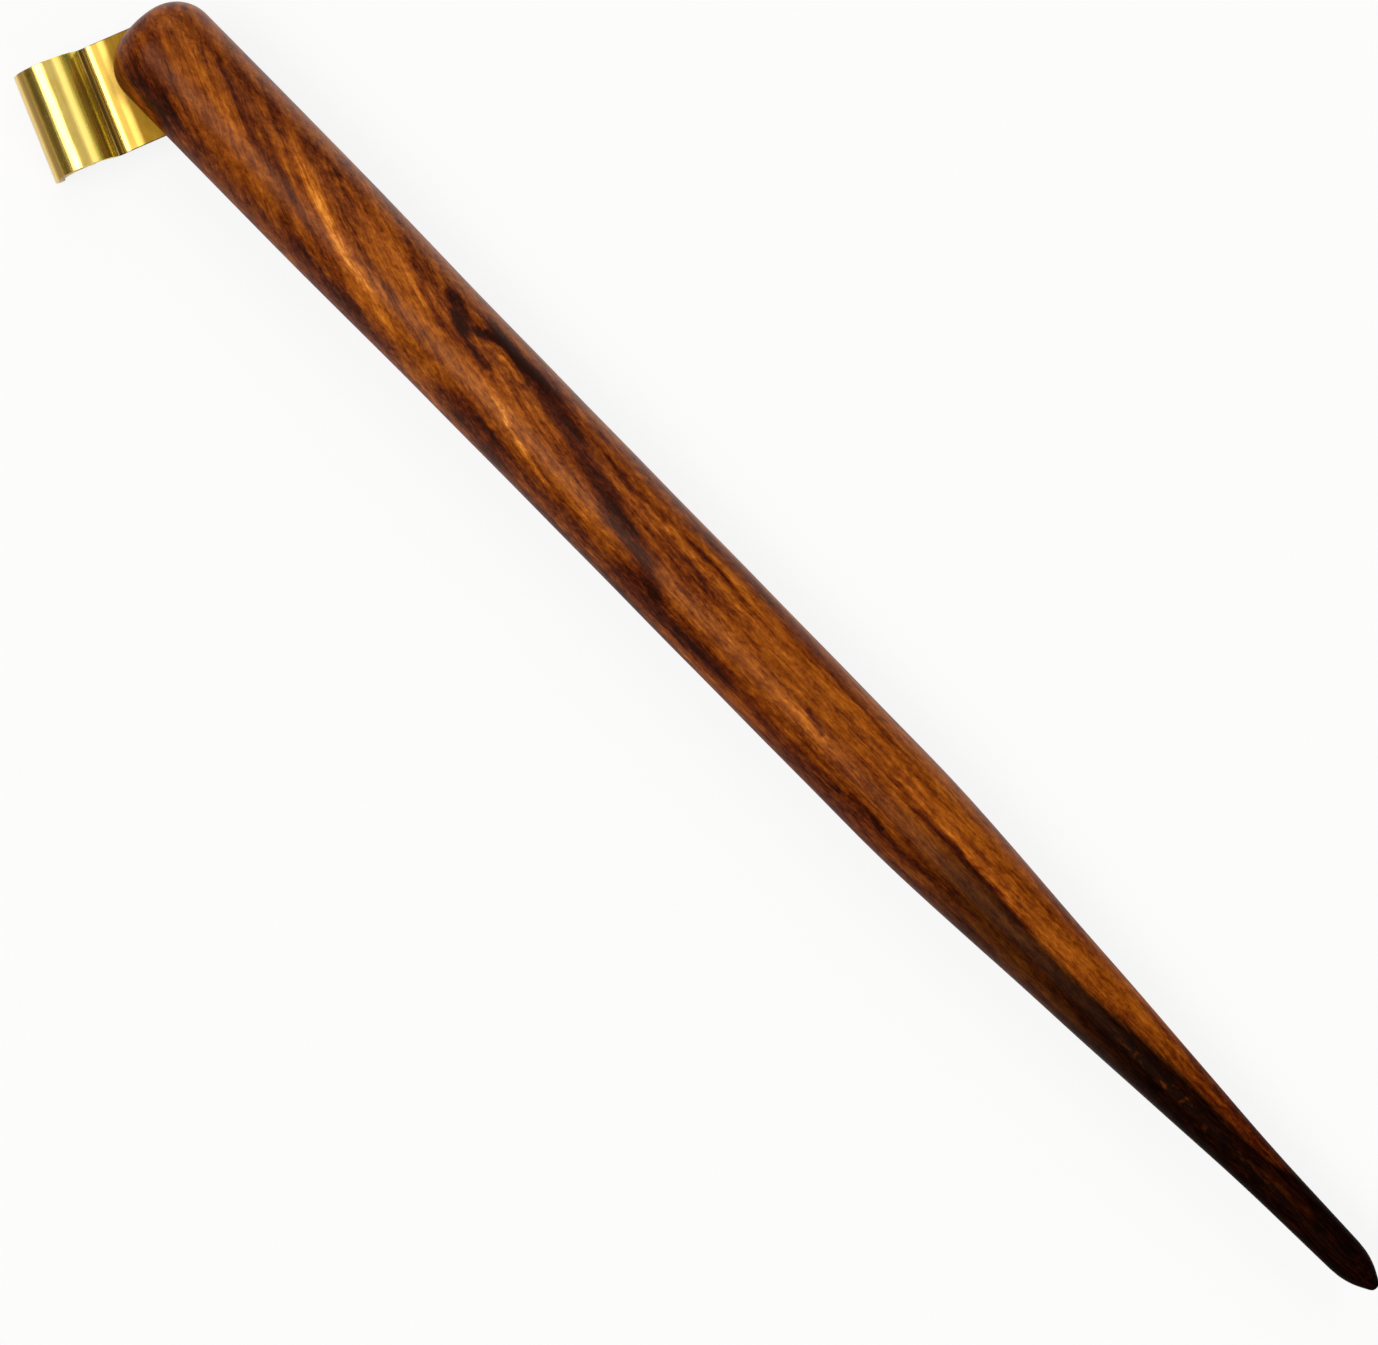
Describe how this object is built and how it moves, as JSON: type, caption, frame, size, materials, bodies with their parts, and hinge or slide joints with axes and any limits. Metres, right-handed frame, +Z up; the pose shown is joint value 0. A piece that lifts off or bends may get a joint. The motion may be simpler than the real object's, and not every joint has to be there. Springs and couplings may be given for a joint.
{
  "type": "oblique dip pen holder",
  "caption": "Turned wooden pen staff with a rounded head, a pointed tail and an offset folded brass flange that grips a pointed nib beside the head.",
  "frame": {"origin": "on the staff axis, in the middle of the cylindrical stretch behind the flange, 21 mm behind the head end", "axes": "+X forward along the staff out of its head, towards the nib; +Y to the side the flange stands on; +Z up, with the holder lying as it rests on a desk"},
  "size_m": [0.1855, 0.0225, 0.0116],
  "materials": {
    "wood": "oiled and lacquered to a satin gloss, reddish brown rosewood figure with a near-black heartwood streak",
    "brass": "bright rolled sheet with fine draw lines along the bends",
    "adhesive": "cured clear adhesive, dark with wood dust"
  },
  "bodies": {
    "root": {"staff": "wood", "flange": "brass", "glue_bond": "adhesive"}
  },
  "joints": []
}
